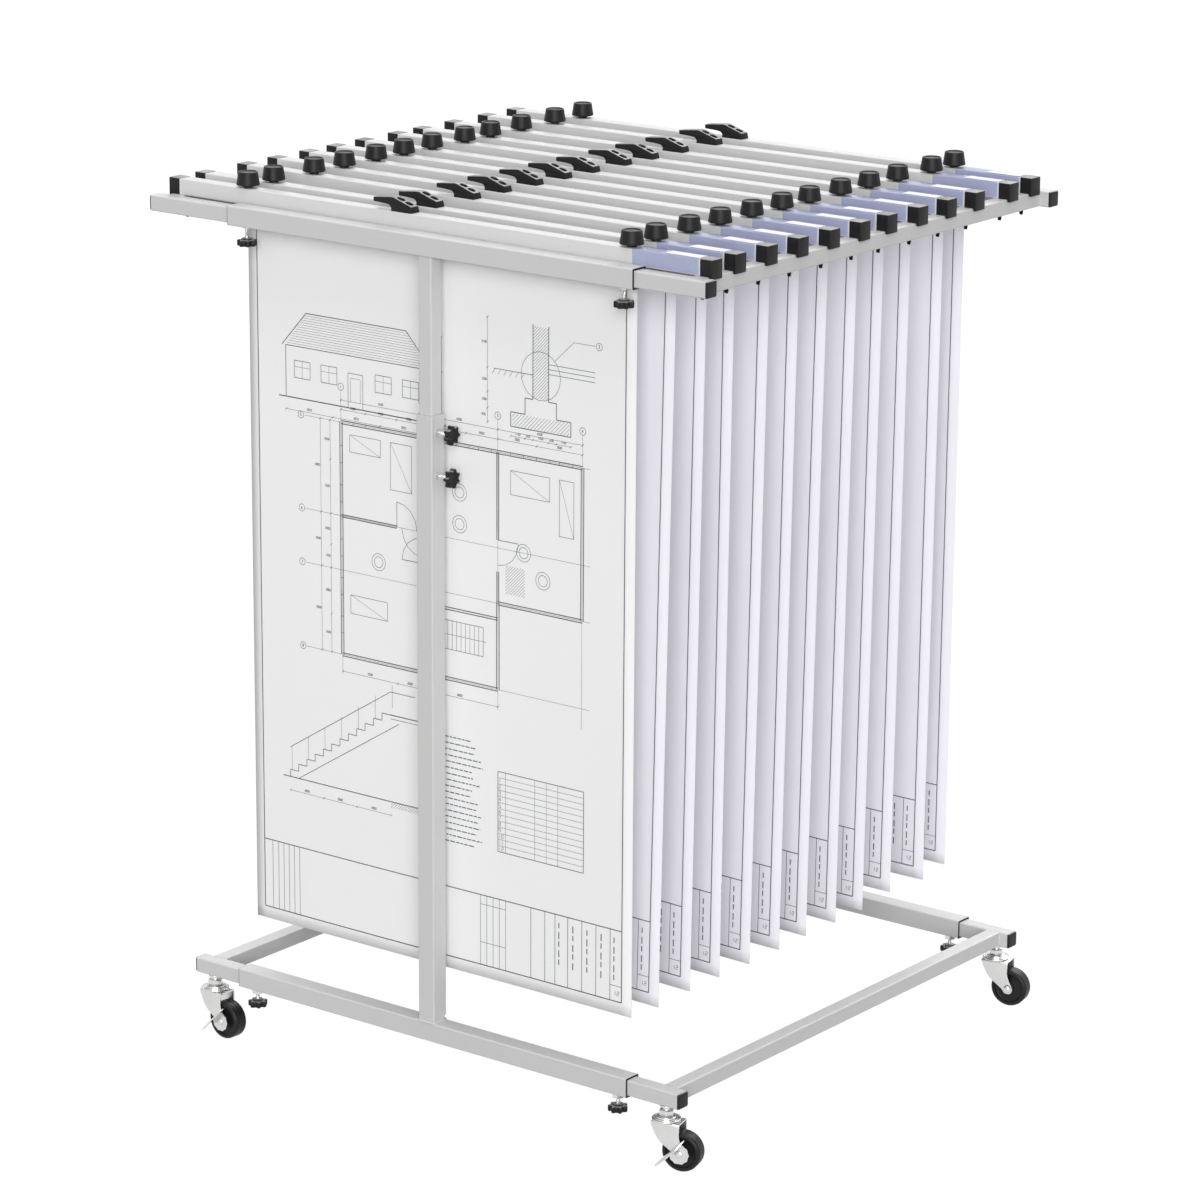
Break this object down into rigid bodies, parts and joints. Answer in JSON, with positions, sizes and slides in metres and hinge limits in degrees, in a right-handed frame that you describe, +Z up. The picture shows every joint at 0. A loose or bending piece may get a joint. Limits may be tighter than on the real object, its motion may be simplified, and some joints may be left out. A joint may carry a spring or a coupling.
{
  "type": "plan hanging rack",
  "caption": "Mobile rack of telescopic square tube on brake casters, with screw clamps across its top that each hang a large drawing.",
  "frame": {"origin": "on the floor, under the middle of the hanging clamps and midway between the front and back rails", "axes": "+X along the clamps to the labelled end, +Y from the front rail to the back rail, +Z up"},
  "size_m": [0.869, 0.7823, 1.1452],
  "materials": {
    "frame_paint": "satin light grey powder coat",
    "clamp_aluminium": "satin light grey coat",
    "black_plastic": "matt moulded",
    "wheel_black": "satin moulded",
    "zinc": "bright zinc plate",
    "clear_blue": "clear blue film",
    "paper": "white drawing paper"
  },
  "bodies": {
    "base": {"base_sleeves": "frame_paint", "lower_posts": "frame_paint", "base_screw_nuts": "zinc", "base_glide_bushes": "black_plastic"},
    "top_frame": {"top_sleeves": "frame_paint", "upper_posts": "frame_paint", "top_screw_nuts": "zinc", "top_glide_bushes": "black_plastic"},
    "base_left_end": {"base_left_end_frame": "frame_paint", "base_left_tube_caps": "black_plastic", "base_left_caster_stems": "zinc"},
    "top_left_end": {"top_left_end_frame": "frame_paint", "top_left_tube_caps": "black_plastic"},
    "base_right_end": {"base_right_end_frame": "frame_paint", "base_right_tube_caps": "black_plastic", "base_right_caster_stems": "zinc"},
    "top_right_end": {"top_right_end_frame": "frame_paint", "top_right_tube_caps": "black_plastic"},
    "front_left_swivel": {"front_left_caster_fork": "zinc"},
    "front_left_wheel": {"front_left_caster_wheel": "wheel_black"},
    "front_left_lever": {"front_left_brake_lever": "zinc"},
    "front_right_swivel": {"front_right_caster_fork": "zinc"},
    "front_right_wheel": {"front_right_caster_wheel": "wheel_black"},
    "front_right_lever": {"front_right_brake_lever": "zinc"},
    "back_left_swivel": {"back_left_caster_fork": "zinc"},
    "back_left_wheel": {"back_left_caster_wheel": "wheel_black"},
    "back_right_swivel": {"back_right_caster_fork": "zinc"},
    "back_right_wheel": {"back_right_caster_wheel": "wheel_black"},
    "base_front_left_knob": {"base_front_left_knob": "black_plastic"},
    "base_front_right_knob": {"base_front_right_knob": "black_plastic"},
    "base_back_left_knob": {"base_back_left_knob": "black_plastic"},
    "base_back_right_knob": {"base_back_right_knob": "black_plastic"},
    "top_front_left_knob": {"top_front_left_knob": "black_plastic"},
    "top_front_right_knob": {"top_front_right_knob": "black_plastic"},
    "top_back_left_knob": {"top_back_left_knob": "black_plastic"},
    "top_back_right_knob": {"top_back_right_knob": "black_plastic"},
    "front_post_upper_knob": {"front_post_upper_knob": "black_plastic"},
    "front_post_lower_knob": {"front_post_lower_knob": "black_plastic"},
    "back_post_upper_knob": {"back_post_upper_knob": "black_plastic"},
    "back_post_lower_knob": {"back_post_lower_knob": "black_plastic"},
    "hanger_01": {"hanger_01_beam": "clamp_aluminium", "hanger_01_jaws": "clamp_aluminium", "hanger_01_end_caps": "black_plastic", "hanger_01_handle": "black_plastic", "hanger_01_fasteners": "zinc", "hanger_01_label_sleeve": "clear_blue", "hanger_01_papers": "paper"},
    "hanger_01_left_knob": {"hanger_01_left_knob": "black_plastic"},
    "hanger_01_right_knob": {"hanger_01_right_knob": "black_plastic"},
    "hanger_02": {"hanger_02": "clamp_aluminium"},
    "hanger_03": {"hanger_03": "clamp_aluminium"},
    "hanger_04": {"hanger_04": "clamp_aluminium"},
    "hanger_05": {"hanger_05": "clamp_aluminium"},
    "hanger_06": {"hanger_06": "clamp_aluminium"},
    "hanger_07": {"hanger_07": "clamp_aluminium"},
    "hanger_08": {"hanger_08": "clamp_aluminium"},
    "hanger_09": {"hanger_09": "clamp_aluminium"},
    "hanger_10": {"hanger_10": "clamp_aluminium"},
    "hanger_11": {"hanger_11": "clamp_aluminium"},
    "hanger_12": {"hanger_12": "clamp_aluminium"}
  },
  "joints": [
    {"name": "height", "type": "slide", "parent": "base", "child": "top_frame", "axis": [0, 0, 1], "range_m": [-0.15, 0.3]},
    {"name": "base_left_slide", "type": "slide", "parent": "base", "child": "base_left_end", "axis": [1, 0, 0], "range_m": [-0.1, 0.01]},
    {"name": "base_right_slide", "type": "slide", "parent": "base", "child": "base_right_end", "axis": [1, 0, 0], "range_m": [-0.01, 0.1]},
    {"name": "top_left_slide", "type": "slide", "parent": "top_frame", "child": "top_left_end", "axis": [1, 0, 0], "range_m": [-0.0005, 0.0015]},
    {"name": "top_right_slide", "type": "slide", "parent": "top_frame", "child": "top_right_end", "axis": [1, 0, 0], "range_m": [-0.0015, 0.0005]},
    {"name": "front_left_swivel", "type": "hinge", "parent": "base_left_end", "child": "front_left_swivel", "pos_m": [-0.354, -0.368, 0.062], "axis": [0, 0, 1], "continuous": true},
    {"name": "front_left_wheel_spin", "type": "hinge", "parent": "front_left_swivel", "child": "front_left_wheel", "pos_m": [-0.33153, -0.36918, 0.025], "axis": [0.0523, 0.9986, 0], "continuous": true},
    {"name": "front_left_brake", "type": "hinge", "parent": "front_left_swivel", "child": "front_left_lever", "pos_m": [-0.33153, -0.36918, 0.025], "axis": [0.0523, 0.9986, 0], "range_deg": [0, 30]},
    {"name": "front_right_swivel", "type": "hinge", "parent": "base_right_end", "child": "front_right_swivel", "pos_m": [0.382, -0.368, 0.062], "axis": [0, 0, 1], "continuous": true},
    {"name": "front_right_wheel_spin", "type": "hinge", "parent": "front_right_swivel", "child": "front_right_wheel", "pos_m": [0.40373, -0.36218, 0.025], "axis": [-0.2588, 0.9659, 0], "continuous": true},
    {"name": "front_right_brake", "type": "hinge", "parent": "front_right_swivel", "child": "front_right_lever", "pos_m": [0.40373, -0.36218, 0.025], "axis": [-0.2588, 0.9659, 0], "range_deg": [0, 30]},
    {"name": "back_left_swivel", "type": "hinge", "parent": "base_left_end", "child": "back_left_swivel", "pos_m": [-0.354, 0.368, 0.062], "axis": [0, 0, 1], "continuous": true},
    {"name": "back_left_wheel_spin", "type": "hinge", "parent": "back_left_swivel", "child": "back_left_wheel", "pos_m": [-0.33172, 0.37113, 0.025], "axis": [-0.1392, 0.9903, 0], "continuous": true},
    {"name": "back_right_swivel", "type": "hinge", "parent": "base_right_end", "child": "back_right_swivel", "pos_m": [0.382, 0.368, 0.062], "axis": [0, 0, 1], "continuous": true},
    {"name": "back_right_wheel_spin", "type": "hinge", "parent": "back_right_swivel", "child": "back_right_wheel", "pos_m": [0.40409, 0.37229, 0.025], "axis": [-0.1908, 0.9816, 0], "continuous": true},
    {"name": "base_front_left_knob_turn", "type": "hinge", "parent": "base", "child": "base_front_left_knob", "pos_m": [-0.28, -0.368, 0.0795], "axis": [0, 0, 1], "range_deg": [0, 720]},
    {"name": "base_front_right_knob_turn", "type": "hinge", "parent": "base", "child": "base_front_right_knob", "pos_m": [0.308, -0.368, 0.0795], "axis": [0, 0, 1], "range_deg": [0, 720]},
    {"name": "base_back_left_knob_turn", "type": "hinge", "parent": "base", "child": "base_back_left_knob", "pos_m": [-0.28, 0.368, 0.0795], "axis": [0, 0, 1], "range_deg": [0, 720]},
    {"name": "base_back_right_knob_turn", "type": "hinge", "parent": "base", "child": "base_back_right_knob", "pos_m": [0.308, 0.368, 0.0795], "axis": [0, 0, 1], "range_deg": [0, 720]},
    {"name": "top_front_left_knob_turn", "type": "hinge", "parent": "top_frame", "child": "top_front_left_knob", "pos_m": [-0.28, -0.368, 1.0825], "axis": [0, 0, 1], "range_deg": [0, 720]},
    {"name": "top_front_right_knob_turn", "type": "hinge", "parent": "top_frame", "child": "top_front_right_knob", "pos_m": [0.308, -0.368, 1.0825], "axis": [0, 0, 1], "range_deg": [0, 720]},
    {"name": "top_back_left_knob_turn", "type": "hinge", "parent": "top_frame", "child": "top_back_left_knob", "pos_m": [-0.28, 0.368, 1.0825], "axis": [0, 0, 1], "range_deg": [0, 720]},
    {"name": "top_back_right_knob_turn", "type": "hinge", "parent": "top_frame", "child": "top_back_right_knob", "pos_m": [0.308, 0.368, 1.0825], "axis": [0, 0, 1], "range_deg": [0, 720]},
    {"name": "front_post_upper_knob_turn", "type": "hinge", "parent": "base", "child": "front_post_upper_knob", "pos_m": [0.0265, -0.368, 0.865], "axis": [1, 0, 0], "range_deg": [0, 720]},
    {"name": "front_post_lower_knob_turn", "type": "hinge", "parent": "base", "child": "front_post_lower_knob", "pos_m": [0.0265, -0.368, 0.811], "axis": [1, 0, 0], "range_deg": [0, 720]},
    {"name": "back_post_upper_knob_turn", "type": "hinge", "parent": "base", "child": "back_post_upper_knob", "pos_m": [0.0015, 0.368, 0.865], "axis": [1, 0, 0], "range_deg": [0, 720]},
    {"name": "back_post_lower_knob_turn", "type": "hinge", "parent": "base", "child": "back_post_lower_knob", "pos_m": [0.0015, 0.368, 0.811], "axis": [1, 0, 0], "range_deg": [0, 720]},
    {"name": "hanger_01_lift", "type": "slide", "parent": "top_frame", "child": "hanger_01", "axis": [0, 0, 1], "range_m": [0, 0.95]},
    {"name": "hanger_01_left_knob_turn", "type": "hinge", "parent": "hanger_01", "child": "hanger_01_left_knob", "pos_m": [-0.3, -0.34229, 1.125], "axis": [0, 0, 1], "range_deg": [0, 720]},
    {"name": "hanger_01_right_knob_turn", "type": "hinge", "parent": "hanger_01", "child": "hanger_01_right_knob", "pos_m": [0.3, -0.34371, 1.125], "axis": [0, 0, 1], "range_deg": [0, 720]},
    {"name": "hanger_02_lift", "type": "slide", "parent": "top_frame", "child": "hanger_02", "axis": [0, 0, 1], "range_m": [0, 0.95]},
    {"name": "hanger_03_lift", "type": "slide", "parent": "top_frame", "child": "hanger_03", "axis": [0, 0, 1], "range_m": [0, 0.95]},
    {"name": "hanger_04_lift", "type": "slide", "parent": "top_frame", "child": "hanger_04", "axis": [0, 0, 1], "range_m": [0, 0.95]},
    {"name": "hanger_05_lift", "type": "slide", "parent": "top_frame", "child": "hanger_05", "axis": [0, 0, 1], "range_m": [0, 0.95]},
    {"name": "hanger_06_lift", "type": "slide", "parent": "top_frame", "child": "hanger_06", "axis": [0, 0, 1], "range_m": [0, 0.95]},
    {"name": "hanger_07_lift", "type": "slide", "parent": "top_frame", "child": "hanger_07", "axis": [0, 0, 1], "range_m": [0, 0.95]},
    {"name": "hanger_08_lift", "type": "slide", "parent": "top_frame", "child": "hanger_08", "axis": [0, 0, 1], "range_m": [0, 0.95]},
    {"name": "hanger_09_lift", "type": "slide", "parent": "top_frame", "child": "hanger_09", "axis": [0, 0, 1], "range_m": [0, 0.95]},
    {"name": "hanger_10_lift", "type": "slide", "parent": "top_frame", "child": "hanger_10", "axis": [0, 0, 1], "range_m": [0, 0.95]},
    {"name": "hanger_11_lift", "type": "slide", "parent": "top_frame", "child": "hanger_11", "axis": [0, 0, 1], "range_m": [0, 0.95]},
    {"name": "hanger_12_lift", "type": "slide", "parent": "top_frame", "child": "hanger_12", "axis": [0, 0, 1], "range_m": [0, 0.95]}
  ]
}
